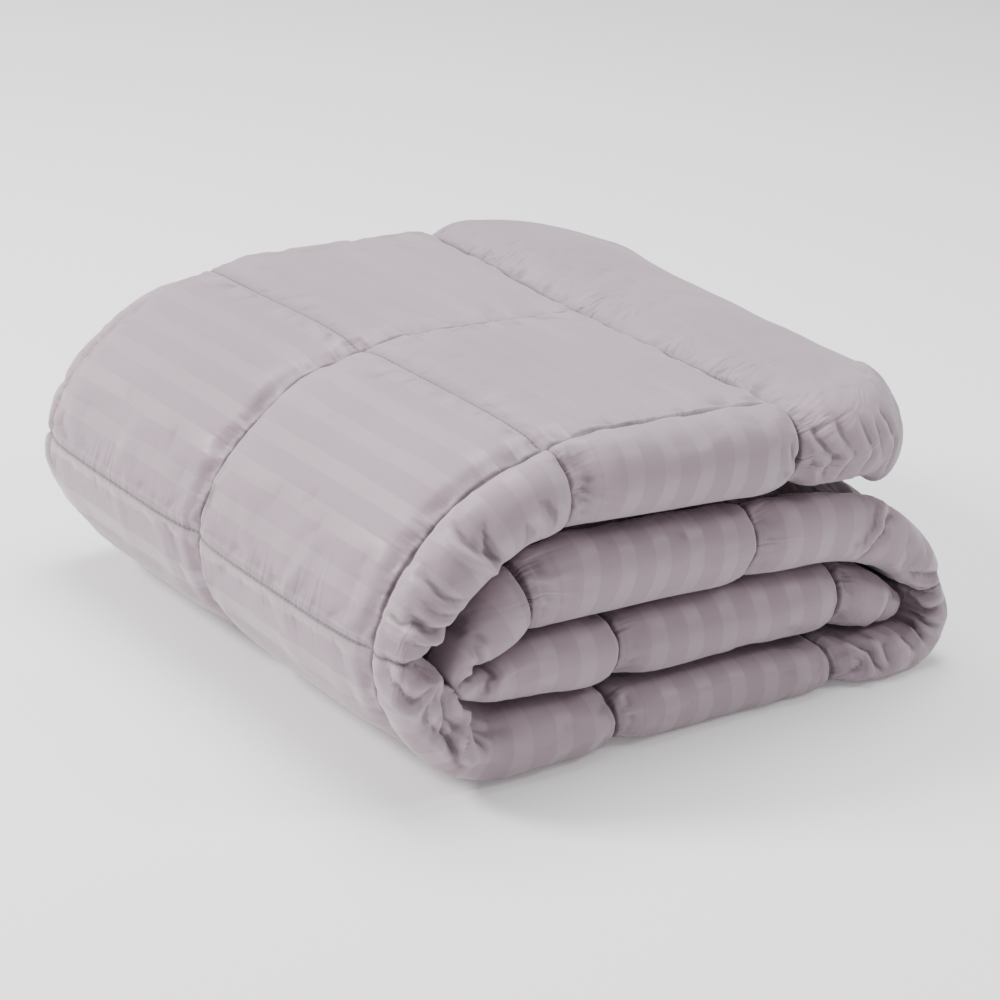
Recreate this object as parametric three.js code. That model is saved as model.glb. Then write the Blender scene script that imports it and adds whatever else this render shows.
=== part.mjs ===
// Quilted comforter, doubled front to back and then rolled flat over itself into four layers.
// Units are mm. X runs from the closed side fold to the open side, Y from the front fold to the back, Z up.
// The origin lies on the floor under the middle of the folded bundle.
import * as THREE from "three";

// Depth of the bundle, from the front fold to the back fold.
const DEPTH = 570;
// Side of one quilted box.
const BOX = 250;
// Distance from the front fold to the first stitched line behind it.
const FIRST_SEAM = 46;
// Where the middle of the bundle's width lies in the table of the fold.
const MIDDLE_X = -4.4;

// Centre line of the cloth through the fold, from the open end on top, round the closed side, along the
// floor, round the open side, back to the inner fold and out to the tucked-in end.
// x and z place the centre line, half is half of the cloth's thickness.
const FOLD = [
  { x: 258, z: 211, half: 40 },
  { x: 205, z: 222.5, half: 41 },
  { x: 95, z: 231.5, half: 40 },
  { x: -30, z: 239.5, half: 38 },
  { x: -150, z: 241.8, half: 36.2 },
  { x: -200, z: 232, half: 35 },
  { x: -244, z: 206, half: 31 },
  { x: -278, z: 169, half: 26 },
  { x: -292, z: 132, half: 22.5 },
  { x: -283, z: 96, half: 23 },
  { x: -256, z: 62, half: 26 },
  { x: -210, z: 35, half: 30 },
  { x: -150, z: 29, half: 30.5 },
  { x: -68, z: 25, half: 27.5 },
  { x: 50, z: 23, half: 25.3 },
  { x: 170, z: 19, half: 21 },
  { x: 232, z: 17, half: 19 },
  { x: 268, z: 21.5, half: 17.5 },
  { x: 286, z: 45, half: 16.5 },
  { x: 278, z: 75, half: 18.5 },
  { x: 250, z: 107, half: 24 },
  { x: 212, z: 132, half: 29.5 },
  { x: 160, z: 147, half: 33 },
  { x: 58, z: 153.5, half: 37.5 },
  { x: -70, z: 160, half: 41 },
  { x: -150, z: 161, half: 41 },
  { x: -196, z: 149, half: 33 },
  { x: -226, z: 131, half: 19.5 },
  { x: -243, z: 120.5, half: 10.5 },
  { x: -249, z: 110, half: 7.5 },
  { x: -243, z: 99.5, half: 8 },
  { x: -223, z: 93.5, half: 12.5 },
  { x: -165, z: 91, half: 26 },
  { x: -87, z: 86.5, half: 30.3 },
  { x: 30, z: 82.8, half: 31.2 },
  { x: 130, z: 78.6, half: 32.6 },
  { x: 188, z: 72.5, half: 31.5 },
  { x: 232, z: 59.5, half: 21.5 },
  { x: 254, z: 51.5, half: 14 },
];

// How far the front and back folds stand out past the depth. at is the distance along the centre line.
const BULGE = [
  { at: 0, out: 0 },
  { at: 900, out: 0 },
  { at: 1100, out: 4 },
  { at: 1170, out: 14 },
  { at: 1210, out: 11 },
  { at: 1270, out: 3 },
  { at: 1340, out: -1 },
  { at: 1800, out: -3 },
  { at: 1880, out: -6 },
  { at: 2400, out: -8 },
];

// How much higher the outer face stands at the back than at the front, and where across the depth it rises.
const BACK_RISE = [
  { at: 0, up: 9 },
  { at: 140, up: 8 },
  { at: 210, up: 1 },
  { at: 330, up: -2 },
  { at: 480, up: -8 },
  { at: 570, up: -2 },
  { at: 640, up: 0 },
  { at: 2400, up: 0 },
];
const RISE_FROM = 20;
const RISE_TO = 220;

// Stitched lines that run front to back, as distances along the centre line.
const CROSS_SEAMS = [164, 407, 602, 866, 1106, 1274, 1517, 1757, 2020, 2271];

// The two ends of the cloth: how far the edge rounds off past the table, where its corners start,
// how far they draw back, and how much of that the inner face lacks.
const OPEN_END = { round: 25, cornerStart: 115, cornerDraw: 150, innerShare: 0.35 };
const TUCKED_END = { round: 13, cornerStart: 35, cornerDraw: 35 };

// Channels drawn in by the stitching: their depth and the width over which the filling rises beside them.
const LONG_CHANNEL = { depth: 7.5, rise: 60 };
const CROSS_CHANNEL = { depth: 5.5, rise: 55 };
const FULL_LOFT_HALF = 30;

// Facets along the fold and around the cloth.
const MAX_STEP = 60;
const MAX_TURN = THREE.MathUtils.degToRad(22);
const SHOULDERS = [12, 32];
const END_STEPS = 4;
const BACK_ARC = 8;
const FRONT_ARC = 10;

const chords = [0];
for (let i = 1; i < FOLD.length; i += 1) {
  const a = FOLD[i - 1];
  const b = FOLD[i];
  chords.push(chords[i - 1] + Math.hypot(b.x - a.x, b.z - a.z));
}
const LENGTH = chords[chords.length - 1];

// Slope of one column of the fold table at a row, weighted by the distances to both neighbours.
function slopeAt(column, i) {
  const last = FOLD.length - 1;
  const before = Math.max(i, 1);
  const after = Math.min(i, last - 1);
  const left = (FOLD[before][column] - FOLD[before - 1][column]) / (chords[before] - chords[before - 1]);
  const right = (FOLD[after + 1][column] - FOLD[after][column]) / (chords[after + 1] - chords[after]);
  if (i === 0) return right;
  if (i === last) return left;
  const leftGap = chords[i] - chords[i - 1];
  const rightGap = chords[i + 1] - chords[i];
  return (rightGap * left + leftGap * right) / (leftGap + rightGap);
}

// Value and slope of one column at a distance along the centre line.
function sample(column, distance) {
  const at = THREE.MathUtils.clamp(distance, 0, LENGTH);
  let i = 0;
  while (i < FOLD.length - 2 && chords[i + 1] <= at) i += 1;
  const gap = chords[i + 1] - chords[i];
  const s = (at - chords[i]) / gap;
  const [p, q] = [FOLD[i][column], FOLD[i + 1][column]];
  const [u, v] = [slopeAt(column, i) * gap, slopeAt(column, i + 1) * gap];
  const value =
    (2 * s ** 3 - 3 * s ** 2 + 1) * p +
    (s ** 3 - 2 * s ** 2 + s) * u +
    (3 * s ** 2 - 2 * s ** 3) * q +
    (s ** 3 - s ** 2) * v;
  const slope =
    ((6 * s ** 2 - 6 * s) * (p - q) + (3 * s ** 2 - 4 * s + 1) * u + (3 * s ** 2 - 2 * s) * v) / gap;
  return { value, slope };
}

// Straight-line value of one column of a table with a column at.
function read(table, column, distance) {
  const at = THREE.MathUtils.clamp(distance, 0, table[table.length - 1].at);
  const i = Math.max(1, table.findIndex((row) => row.at >= at));
  const [a, b] = [table[i - 1], table[i]];
  return THREE.MathUtils.mapLinear(at, a.at, b.at, a[column], b[column]);
}

// Quarter-round draw-in of a corner, from 0 where it starts to 1 at the cloth's edge.
function cornerDraw(end, inward) {
  const share = THREE.MathUtils.clamp((end.cornerStart - inward) / (end.cornerStart + end.round), 0, 1);
  return end.cornerDraw * (1 - Math.sqrt(1 - share * share));
}

// The cloth at one distance along the fold: centre, direction, outward normal, thickness and depth.
function sectionAt(distance) {
  const [x, z] = [sample("x", distance), sample("z", distance)];
  const length = Math.hypot(x.slope, z.slope);
  const along = { x: x.slope / length, z: z.slope / length };
  const past = distance < 0 ? distance : Math.max(0, distance - LENGTH);
  const round = distance < 0 ? OPEN_END.round : TUCKED_END.round;
  const thin = Math.sqrt(Math.max(0.01, 1 - (past / round) ** 2));
  const openDraw = cornerDraw(OPEN_END, distance);
  const draw = openDraw + cornerDraw(TUCKED_END, LENGTH - distance);
  const reach = DEPTH / 2 + read(BULGE, "out", distance) - draw;
  return {
    x: x.value + along.x * past,
    z: z.value + along.z * past,
    outX: along.z,
    outZ: -along.x,
    half: sample("half", distance).value * thin,
    rise: read(BACK_RISE, "up", distance) * thin,
    widen: (openDraw * OPEN_END.innerShare) / reach,
    reach,
  };
}

// Runs around the cloth, measured on the outer face from the first stitched line, at each break of the loop.
function breaksOf({ half, reach }) {
  const first = -DEPTH / 2 + FIRST_SEAM;
  const flat = 2 * (reach - half);
  const outerStart = -reach + half - first;
  const outerEnd = outerStart + flat;
  const innerStart = outerEnd + Math.PI * half;
  const innerEnd = innerStart + flat;
  const total = innerEnd + Math.PI * half + Math.max(0, -outerStart);
  const innerSeam = innerStart + (flat - BOX) / 2;
  return {
    first,
    outerEnd,
    innerStart,
    innerEnd,
    total,
    seams: [
      Math.max(0, outerStart),
      BOX,
      Math.min(2 * BOX, outerEnd + (Math.PI * half) / 4),
      innerSeam,
      innerSeam + BOX,
    ],
  };
}

// Place across the depth, offset from the centre line and outward normal, at a run around the cloth.
function aroundAt(run, { half, reach }, breaks) {
  const { first, outerEnd, innerStart, innerEnd } = breaks;
  if (run <= outerEnd) return { y: first + run, off: half, ny: 0, nOff: 1 };
  if (run <= innerStart) {
    const turn = (run - outerEnd) / half;
    const [ny, nOff] = [Math.sin(turn), Math.cos(turn)];
    return { y: reach - half + half * ny, off: half * nOff, ny, nOff };
  }
  if (run <= innerEnd) return { y: reach - half - (run - innerStart), off: -half, ny: 0, nOff: -1 };
  const turn = Math.PI - Math.min(Math.PI, (run - innerEnd) / half);
  const [ny, nOff] = [-Math.sin(turn), Math.cos(turn)];
  const past = Math.max(0, run - innerEnd - Math.PI * half);
  return { y: -reach + half + half * ny + past, off: half * nOff, ny, nOff };
}

// The runs at which every ring has a point, closer together beside the stitched lines.
function runsOf(breaks) {
  const { seams, innerStart, innerEnd, total } = breaks;
  const evenly = (from, to, count) => [...Array(count)].map((_, i) => from + ((to - from) * i) / count);
  const between = (from, to, shares) => shares.map((share) => from + (to - from) * share);
  const box = [0, 0.05, 0.13, 0.34, 0.66, 0.87, 0.95];
  return [
    ...between(seams[0], seams[1], box),
    ...between(seams[1], seams[2], box),
    ...evenly(seams[2], innerStart, BACK_ARC),
    ...between(innerStart, seams[3], [0, 0.8]),
    ...between(seams[3], seams[4], [0, 0.1, 0.5, 0.9]),
    ...between(seams[4], innerEnd, [0, 0.2]),
    ...evenly(innerEnd, total, FRONT_ARC),
  ];
}

// Height of the filling beside a stitched line, from 0 on the line to 1 where it is full.
function loft(away, rise) {
  const share = THREE.MathUtils.clamp(1 - Math.abs(away) / rise, 0, 1);
  return (1 - share * share) ** 0.6;
}

// Depth to which the stitching draws the cloth in at a place.
function drawnIn(distance, run, section, breaks) {
  const banded = distance < CROSS_SEAMS[0] || distance > CROSS_SEAMS[CROSS_SEAMS.length - 1];
  const away = [...breaks.seams, breaks.total].map((seam) => Math.abs(run - seam));
  const longLoft = banded ? 1 : loft(Math.min(...away), LONG_CHANNEL.rise);
  const crossLoft = loft(
    Math.min(...CROSS_SEAMS.map((seam) => Math.abs(distance - seam))),
    CROSS_CHANNEL.rise,
  );
  const depth =
    LONG_CHANNEL.depth * (1 - longLoft) +
    CROSS_CHANNEL.depth * (1 - crossLoft) * (0.5 + 0.5 * longLoft);
  return depth * THREE.MathUtils.clamp(section.half / FULL_LOFT_HALF, 0.15, 1.1);
}

// One closed ring of points around the cloth; where it meets the floor it lies flat.
function ringAt(distance) {
  const section = sectionAt(distance);
  const breaks = breaksOf(section);
  return runsOf(breaks).map((run) => {
    const around = aroundAt(run, section, breaks);
    const depth = drawnIn(distance, run, section, breaks);
    const rise = section.rise * THREE.MathUtils.smoothstep(around.y, RISE_FROM, RISE_TO);
    const off = around.off - around.nOff * depth + Math.max(0, around.nOff) * rise;
    return new THREE.Vector3(
      section.x + section.outX * off - MIDDLE_X,
      (around.y - around.ny * depth) * (1 + (section.widen * (1 - around.nOff)) / 2),
      Math.max(0, section.z + section.outZ * off),
    );
  });
}

// Direction of the centre line at a distance, as an angle.
function headingAt(distance) {
  return Math.atan2(sample("z", distance).slope, sample("x", distance).slope);
}

// Angle by which the centre line turns between two distances.
function turnBetween(a, b) {
  const turn = headingAt(b) - headingAt(a);
  return Math.abs(Math.atan2(Math.sin(turn), Math.cos(turn)));
}

// Distances of the rings: at and beside each stitched line, then split until every step is short and even.
function ringDistances() {
  const marks = [0, LENGTH];
  CROSS_SEAMS.forEach((seam) => {
    marks.push(seam);
    SHOULDERS.forEach((shoulder) => marks.push(seam - shoulder, seam + shoulder));
  });
  const sorted = marks.filter((mark) => mark >= 0 && mark <= LENGTH).sort((a, b) => a - b);
  const split = (a, b) => {
    const middle = (a + b) / 2;
    const turn = Math.max(turnBetween(a, b), turnBetween(a, middle) + turnBetween(middle, b));
    if (b - a <= MAX_STEP && turn <= MAX_TURN) return [a];
    return [...split(a, middle), ...split(middle, b)];
  };
  const body = sorted.slice(1).flatMap((mark, i) => split(sorted[i], mark));
  const ends = [...Array(END_STEPS)].map((_, i) => Math.cos((Math.PI / 2) * ((i + 0.2) / END_STEPS)));
  return [
    ...ends.map((share) => -OPEN_END.round * share),
    ...body,
    LENGTH,
    ...ends.reverse().map((share) => LENGTH + TUCKED_END.round * share),
  ];
}

// Triangles that close a flat end ring, facing the open side.
function capTriangles(ring, start) {
  const outline = ring.map((point) => new THREE.Vector2(point.y, point.z));
  return THREE.ShapeUtils.triangulateShape(outline, []).flatMap((face) => {
    const turned = THREE.ShapeUtils.area(face.map((i) => outline[i])) < 0;
    return (turned ? [...face].reverse() : face).map((i) => start + i);
  });
}

// The whole cloth as one closed surface through its rings.
function comforterGeometry() {
  const rings = ringDistances().map(ringAt);
  const count = rings[0].length;
  const index = [];
  for (let i = 0; i + 1 < rings.length; i += 1) {
    for (let j = 0; j < count; j += 1) {
      const k = (j + 1) % count;
      const [a, b] = [i * count + j, i * count + k];
      const [c, d] = [a + count, b + count];
      index.push(a, d, c, a, b, d);
    }
  }
  index.push(...capTriangles(rings[0], 0));
  index.push(...capTriangles(rings[rings.length - 1], (rings.length - 1) * count));
  const geometry = new THREE.BufferGeometry().setFromPoints(rings.flat());
  geometry.setIndex(index);
  geometry.computeVertexNormals();
  return geometry;
}

const sateen = new THREE.MeshStandardMaterial({ color: 0xb9b0b9, roughness: 0.62, metalness: 0 });

const comforter = new THREE.Mesh(comforterGeometry(), sateen);
comforter.name = "comforter";

const bundle = new THREE.Group();
bundle.name = "folded_comforter";
bundle.add(comforter);

export default bundle;
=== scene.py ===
"""Folded comforter in its finish: quilted striped cloth and its stitching, on a pale studio floor."""

from __future__ import annotations

import logging
import math
from dataclasses import dataclass, field
from enum import Enum
from typing import Callable, NamedTuple

import bmesh
import bpy
import numpy as np
from mathutils import Matrix, Vector
from mathutils.kdtree import KDTree


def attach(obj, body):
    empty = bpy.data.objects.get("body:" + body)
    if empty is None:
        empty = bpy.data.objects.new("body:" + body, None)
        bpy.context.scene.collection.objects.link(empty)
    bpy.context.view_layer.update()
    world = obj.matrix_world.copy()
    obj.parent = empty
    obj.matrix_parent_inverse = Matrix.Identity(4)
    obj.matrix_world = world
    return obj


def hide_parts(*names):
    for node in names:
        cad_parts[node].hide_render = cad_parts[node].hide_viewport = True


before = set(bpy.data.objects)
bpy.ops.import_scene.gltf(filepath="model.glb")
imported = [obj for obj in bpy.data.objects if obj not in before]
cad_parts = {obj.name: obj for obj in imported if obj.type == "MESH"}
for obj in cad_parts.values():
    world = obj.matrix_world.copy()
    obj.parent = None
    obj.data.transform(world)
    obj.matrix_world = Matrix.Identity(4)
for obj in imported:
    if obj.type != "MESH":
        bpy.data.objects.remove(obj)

LOG = logging.getLogger("comforter")
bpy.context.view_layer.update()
MM = 0.001


class Station(NamedTuple):
    """One place on the centre line of the fold, in mm: where it lies and half of the cloth's thickness."""

    x: float
    z: float
    half: float


class Dent(NamedTuple):
    """A soft hollow, in mm: its middle along the fold and below the front seam, its two radii and depth."""

    along: float
    below: float
    reach_along: float
    reach_below: float
    depth: float


class Crease(NamedTuple):
    """A sharp fold line, in mm: its two ends along the fold and below the front seam, depth and width."""

    along_a: float
    below_a: float
    along_b: float
    below_b: float
    depth: float
    width: float


class Lay(Enum):
    """Which way a row of stitching runs."""

    ALONG = "along"
    ACROSS = "across"


FOLD: tuple[Station, ...] = tuple(
    Station(*row)
    for row in (
        (258, 211, 40), (205, 222.5, 41), (95, 231.5, 40), (-30, 239.5, 38), (-150, 241.8, 36.2),
        (-200, 232, 35), (-244, 206, 31), (-278, 169, 26), (-292, 132, 22.5), (-283, 96, 23),
        (-256, 62, 26), (-210, 35, 30), (-150, 29, 30.5), (-68, 25, 27.5), (50, 23, 25.3),
        (170, 19, 21), (232, 17, 19), (268, 21.5, 17.5), (286, 45, 16.5), (278, 75, 18.5),
        (250, 107, 24), (212, 132, 29.5), (160, 147, 33), (58, 153.5, 37.5), (-70, 160, 41),
        (-150, 161, 41), (-196, 149, 33), (-226, 131, 19.5), (-243, 120.5, 10.5), (-249, 110, 7.5),
        (-243, 99.5, 8), (-223, 93.5, 12.5), (-165, 91, 26), (-87, 86.5, 30.3), (30, 82.8, 31.2),
        (130, 78.6, 32.6), (188, 72.5, 31.5), (232, 59.5, 21.5), (254, 51.5, 14),
    )
)
BULGE = ((0, 0), (900, 0), (1100, 4), (1170, 14), (1210, 11), (1270, 3), (1340, -1), (1800, -3),
         (1880, -6), (2400, -8))
BACK_RISE = ((0, 9), (140, 8), (210, 1), (330, -2), (480, -8), (570, -2), (640, 0), (2400, 0))
CROSS_SEAMS = (164, 407, 602, 866, 1106, 1274, 1517, 1757, 2020, 2271)
CROSS_PULL = (1.7, 0.3, 0.5, 1.0, 1.0, 1.0, 1.0, 1.0, 1.0, 1.0)
FAR_SIDE = (-1, -1, -1, 1, 1, -1, -1, -1, 1, 1)
LONG_PULL = ((164, 0.35), (370, 0.35), (430, 1.25), (760, 1.25), (900, 1.0), (2400, 1.0))
CLOSE_STRETCHES = ((10, 150), (480, 740), (1130, 1390))
DENTS: tuple[Dent, ...] = tuple(
    Dent(*row)
    for row in (
        (716, 92, 22, 22, 13), (744, 84, 24, 26, 7), (394, 62, 14, 20, 6), (854, 94, 20, 16, 5),
        (16, 112, 24, 20, -9), (1290, 62, 60, 30, -2), (604, 74, 9, 30, 5),
    )
)
CREASES: tuple[Crease, ...] = tuple(
    Crease(*row)
    for row in (
        (501, 22, 495, 72, 4.2, 4.6), (497, 38, 492, 84, 5.4, 4.6), (488, 40, 487, 94, 10.0, 4.6),
        (541, 28, 532, 86, 6.0, 5), (553, 32, 545, 86, 5.4, 4.6), (573, 10, 566, 50, 4.6, 4.6),
        (567, 34, 560, 92, 11.0, 4.4), (602, 46, 599, 106, 8.0, 6), (602, 16, 618, 42, 6.0, 5),
        (612, 34, 630, 62, 6.5, 5), (624, 72, 658, 56, -7.0, 4.4), (630, 68, 654, 53, 9.0, 4.4),
        (650, 56, 677, 62, 6.5, 4.4), (660, 68, 703, 58, 9.5, 4.6), (612, 78, 648, 86, -5.0, 5),
        (640, 88, 690, 84, -9.5, 4.4), (678, 86, 716, 50, -10.0, 4.4), (700, 96, 730, 62, 9.0, 6),
        (1812, 40, 1822, 100, 6.0, 5),
        (1842, 32, 1846, 92, 5.4, 5), (1874, 44, 1886, 92, 5.6, 5), (146, 36, 122, 76, 4.4, 5),
        (124, 64, 126, 106, 4.0, 5), (122, 34, 104, 74, 4.0, 4.6), (105, 66, 106, 108, 3.6, 4.6),
        (98, 38, 76, 72, 3.6, 4.4), (78, 64, 80, 106, 3.4, 4.4), (80, 34, 52, 82, 3.6, 4.4),
        (64, 30, 40, 64, 4.4, 4), (42, 58, 26, 98, 4.8, 4), (178, 50, 162, 78, 5.5, 4.4),
        (1356, 30, 1370, 66, 9.0, 5.4), (1368, 54, 1382, 98, 9.0, 5.4), (1320, 76, 1276, 36, 6.5, 4.4),
        (1278, 92, 1268, 48, 6.0, 4.2), (1254, 96, 1258, 56, 5.0, 4.2), (1240, 98, 1236, 60, 5.5, 4.2),
        (1226, 100, 1215, 68, 5.5, 4.2), (2340, 66, 2331, 40, 5.0, 4.6), (2330, 46, 2336, 20, 4.6, 4.6),
        (1136, 108, 1150, 82, 7.5, 5.4), (1148, 88, 1160, 62, 7.0, 5.4), (1168, 100, 1168, 66, 5.0, 4.4),
        (1192, 104, 1201, 68, 5.6, 4.6), (1124, 60, 1140, 84, 4.5, 4.6), (430, 86, 444, 52, 3.0, 5),
        (456, 92, 462, 60, 3.6, 5), (640, 100, 672, 96, 4.0, 5),
    )
)


def smooth_noise(position: np.ndarray, spacing: float, seed: int) -> np.ndarray:
    """Random curve through evenly spaced knots, between about -1 and 1.

    Args:
        position: places at which to read it, in mm.
        spacing: distance between its knots, in mm.
        seed: chooses the curve.

    Returns:
        One value for each place.
    """
    knots = np.random.default_rng(seed).uniform(-1.0, 1.0, 2048)
    scaled = np.asarray(position, float) / spacing + 512.0
    low = np.floor(scaled).astype(int)
    part = scaled - low
    ease = part * part * (3.0 - 2.0 * part)
    return knots[low % 2048] * (1.0 - ease) + knots[(low + 1) % 2048] * ease


def smooth_field(a: np.ndarray, b: np.ndarray, spacing: float, seed: int) -> np.ndarray:
    """Random smooth surface over two coordinates, between about -1 and 1.

    Args:
        a: first coordinate, in mm.
        b: second coordinate, in mm.
        spacing: distance between its knots, in mm.
        seed: chooses the surface.

    Returns:
        One value for each pair of coordinates.
    """
    knots = np.random.default_rng(seed).uniform(-1.0, 1.0, (256, 256))
    scaled = [np.asarray(c, float) / spacing + 64.0 for c in (a, b)]
    low = [np.floor(c).astype(int) for c in scaled]
    ease = [(s - l) ** 2 * (3.0 - 2.0 * (s - l)) for s, l in zip(scaled, low)]
    rows, columns = [[(l + k) % 256 for k in (0, 1)] for l in low]
    near = knots[rows[0], columns[0]] * (1 - ease[1]) + knots[rows[0], columns[1]] * ease[1]
    far = knots[rows[1], columns[0]] * (1 - ease[1]) + knots[rows[1], columns[1]] * ease[1]
    return near * (1 - ease[0]) + far * ease[0]


def smoothstep(value: np.ndarray, low: float, high: float) -> np.ndarray:
    """Soft step from 0 at low to 1 at high.

    Args:
        value: numbers to read the step at.
        low: where the step starts.
        high: where the step ends.

    Returns:
        One share for each number.
    """
    share = np.clip((np.asarray(value, float) - low) / (high - low), 0.0, 1.0)
    return share * share * (3.0 - 2.0 * share)


def keep_values(mesh: bpy.types.Mesh, name: str, values: np.ndarray) -> None:
    """Stores one number for each vertex in an attribute of the mesh."""
    kept = mesh.attributes.new(name, "FLOAT", "POINT")
    kept.data.foreach_set("value", values.astype(np.float32))


def linked(name: str, mesh: bpy.types.Mesh) -> bpy.types.Object:
    """A new object in the scene that shows the mesh."""
    made = bpy.data.objects.new(name, mesh)
    bpy.context.scene.collection.objects.link(made)
    return made


@dataclass
class Rings:
    """The cloth's loops along the fold: one row of each array for each loop, in mm."""

    distance: np.ndarray
    centre: np.ndarray
    out: np.ndarray
    half: np.ndarray
    rise: np.ndarray
    widen: np.ndarray
    reach: np.ndarray
    seams: np.ndarray
    outer_end: np.ndarray
    inner_start: np.ndarray
    inner_end: np.ndarray
    total: np.ndarray


@dataclass(frozen=True)
class FoldShape:
    """The folded cloth's surface through its fold, as functions of two lengths in mm.

    The first length runs along the centre line, the second round the cloth from its front seam.
    """

    depth: float = 570.0
    box: float = 250.0
    first_seam: float = 46.0
    middle_x: float = -4.4
    long_depth: float = 7.5
    long_rise: float = 60.0
    cross_depth: float = 5.5
    cross_rise: float = 55.0
    full_half: float = 30.0
    open_round: float = 25.0
    open_corner: float = 115.0
    open_draw: float = 150.0
    inner_share: float = 0.55
    lower_lip: float = 0.28
    tucked_round: float = 13.0
    tucked_corner: float = 35.0

    def chords(self) -> np.ndarray:
        """Distance of each station along the centre line."""
        steps = [math.hypot(b.x - a.x, b.z - a.z) for a, b in zip(FOLD, FOLD[1:])]
        return np.concatenate([[0.0], np.cumsum(steps)])

    def length(self) -> float:
        """Length of the centre line."""
        return float(self.chords()[-1])

    def read(self, column: int, distance: np.ndarray) -> tuple[np.ndarray, np.ndarray]:
        """Smooth value and slope of one column of the fold table.

        Args:
            column: 0 for x, 1 for z, 2 for half.
            distance: places along the centre line.

        Returns:
            The values and the slopes.
        """
        chords = self.chords()
        values = np.array([row[column] for row in FOLD], float)
        gaps = np.diff(chords)
        rates = np.diff(values) / gaps
        slopes = np.concatenate([
            rates[:1],
            (gaps[1:] * rates[:-1] + gaps[:-1] * rates[1:]) / (gaps[:-1] + gaps[1:]),
            rates[-1:],
        ])
        at = np.clip(distance, 0.0, chords[-1])
        i = np.clip(np.searchsorted(chords, at, side="right") - 1, 0, len(chords) - 2)
        gap = gaps[i]
        s = (at - chords[i]) / gap
        p, q, u, v = values[i], values[i + 1], slopes[i] * gap, slopes[i + 1] * gap
        value = ((2 * s**3 - 3 * s**2 + 1) * p + (s**3 - 2 * s**2 + s) * u
                 + (3 * s**2 - 2 * s**3) * q + (s**3 - s**2) * v)
        slope = ((6 * s**2 - 6 * s) * (p - q) + (3 * s**2 - 4 * s + 1) * u + (3 * s**2 - 2 * s) * v) / gap
        return value, slope

    def corner(self, start: float, rounding: float, draw: float, inward: np.ndarray) -> np.ndarray:
        """Quarter-round draw-in of a corner of the cloth.

        Args:
            start: distance from the end at which the corner starts.
            rounding: how far the edge rounds off past the end.
            draw: draw-in at the very edge.
            inward: distances from the end.

        Returns:
            One draw-in for each distance.
        """
        share = np.clip((start - inward) / (start + rounding), 0.0, 1.0)
        return draw * (1.0 - np.sqrt(1.0 - share * share))

    def rings(self, distance: np.ndarray, past: np.ndarray, thin: np.ndarray, shift: np.ndarray,
              edge: np.ndarray | None = None) -> Rings:
        """The cloth's loops at places along the fold.

        Args:
            distance: places along the centre line.
            past: how far each loop stands past the centre line's end.
            thin: share of the full thickness.
            shift: shift along the outward normal, as a share of half the thickness.
            edge: how far each loop counts as past the end where the corners draw in.

        Returns:
            The loops' places, directions and lengths.
        """
        (x, dx), (z, dz), (half, _) = (self.read(c, distance) for c in (0, 1, 2))
        size = np.hypot(dx, dz)
        along = np.stack([dx / size, dz / size], axis=1)
        out = np.stack([along[:, 1], -along[:, 0]], axis=1)
        inward = distance + (past if edge is None else edge)
        open_draw = self.corner(self.open_corner, self.open_round, self.open_draw, inward)
        open_draw = open_draw + np.maximum(0.0, -inward - self.open_round)
        tucked = self.corner(self.tucked_corner, self.tucked_round, self.tucked_corner,
                             self.length() - inward)
        bulge = np.interp(distance, [row[0] for row in BULGE], [row[1] for row in BULGE])
        reach = self.depth / 2 + bulge - open_draw - tucked
        centre = np.stack([x, z], axis=1) + along * past[:, None] + out * (shift * half)[:, None]
        rise = np.interp(distance, [row[0] for row in BACK_RISE], [row[1] for row in BACK_RISE]) * thin
        half = half * thin
        first = -self.depth / 2 + self.first_seam
        flat = 2 * (reach - half)
        outer_start = -reach + half - first
        outer_end = outer_start + flat
        inner_start = outer_end + np.pi * half
        inner_end = inner_start + flat
        total = inner_end + np.pi * half + np.maximum(0.0, -outer_start)
        inner_seam = inner_start + np.maximum(0.04 * flat, (flat - self.box) / 2)
        seams = np.stack([
            np.maximum(0.0, outer_start),
            np.full_like(half, self.box),
            np.minimum(2 * self.box, outer_end + np.pi * half / 4),
            inner_seam,
            np.minimum(inner_seam + self.box, inner_end - 0.04 * flat),
        ], axis=1)
        return Rings(distance, centre, out, half, rise, open_draw * self.inner_share / reach, reach,
                     seams, outer_end, inner_start, inner_end, total)

    def around(self, run: np.ndarray, rings: Rings) -> tuple[np.ndarray, ...]:
        """Place and outward direction in the cloth's own section.

        Args:
            run: lengths round the cloth, one row for each loop.
            rings: the loops.

        Returns:
            Depth position, offset from the centre line, and the two parts of the outward normal.
        """
        half, reach = rings.half[:, None], rings.reach[:, None]
        end, start, inner = rings.outer_end[:, None], rings.inner_start[:, None], rings.inner_end[:, None]
        first = -self.depth / 2 + self.first_seam
        back = np.clip((run - end) / half, 0.0, np.pi)
        front = np.pi - np.clip((run - inner) / half, 0.0, np.pi)
        past = np.maximum(0.0, run - inner - np.pi * half)
        outer, behind, inside = run <= end, run <= start, run <= inner
        y = np.where(outer, first + run, np.where(
            behind, reach - half + half * np.sin(back), np.where(
                inside, reach - half - (run - start), -reach + half - half * np.sin(front) + past)))
        ny = np.where(outer, 0.0, np.where(behind, np.sin(back), np.where(inside, 0.0, -np.sin(front))))
        n_off = np.where(outer, 1.0, np.where(behind, np.cos(back), np.where(inside, -1.0, np.cos(front))))
        return y, half * n_off, ny, n_off

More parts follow.
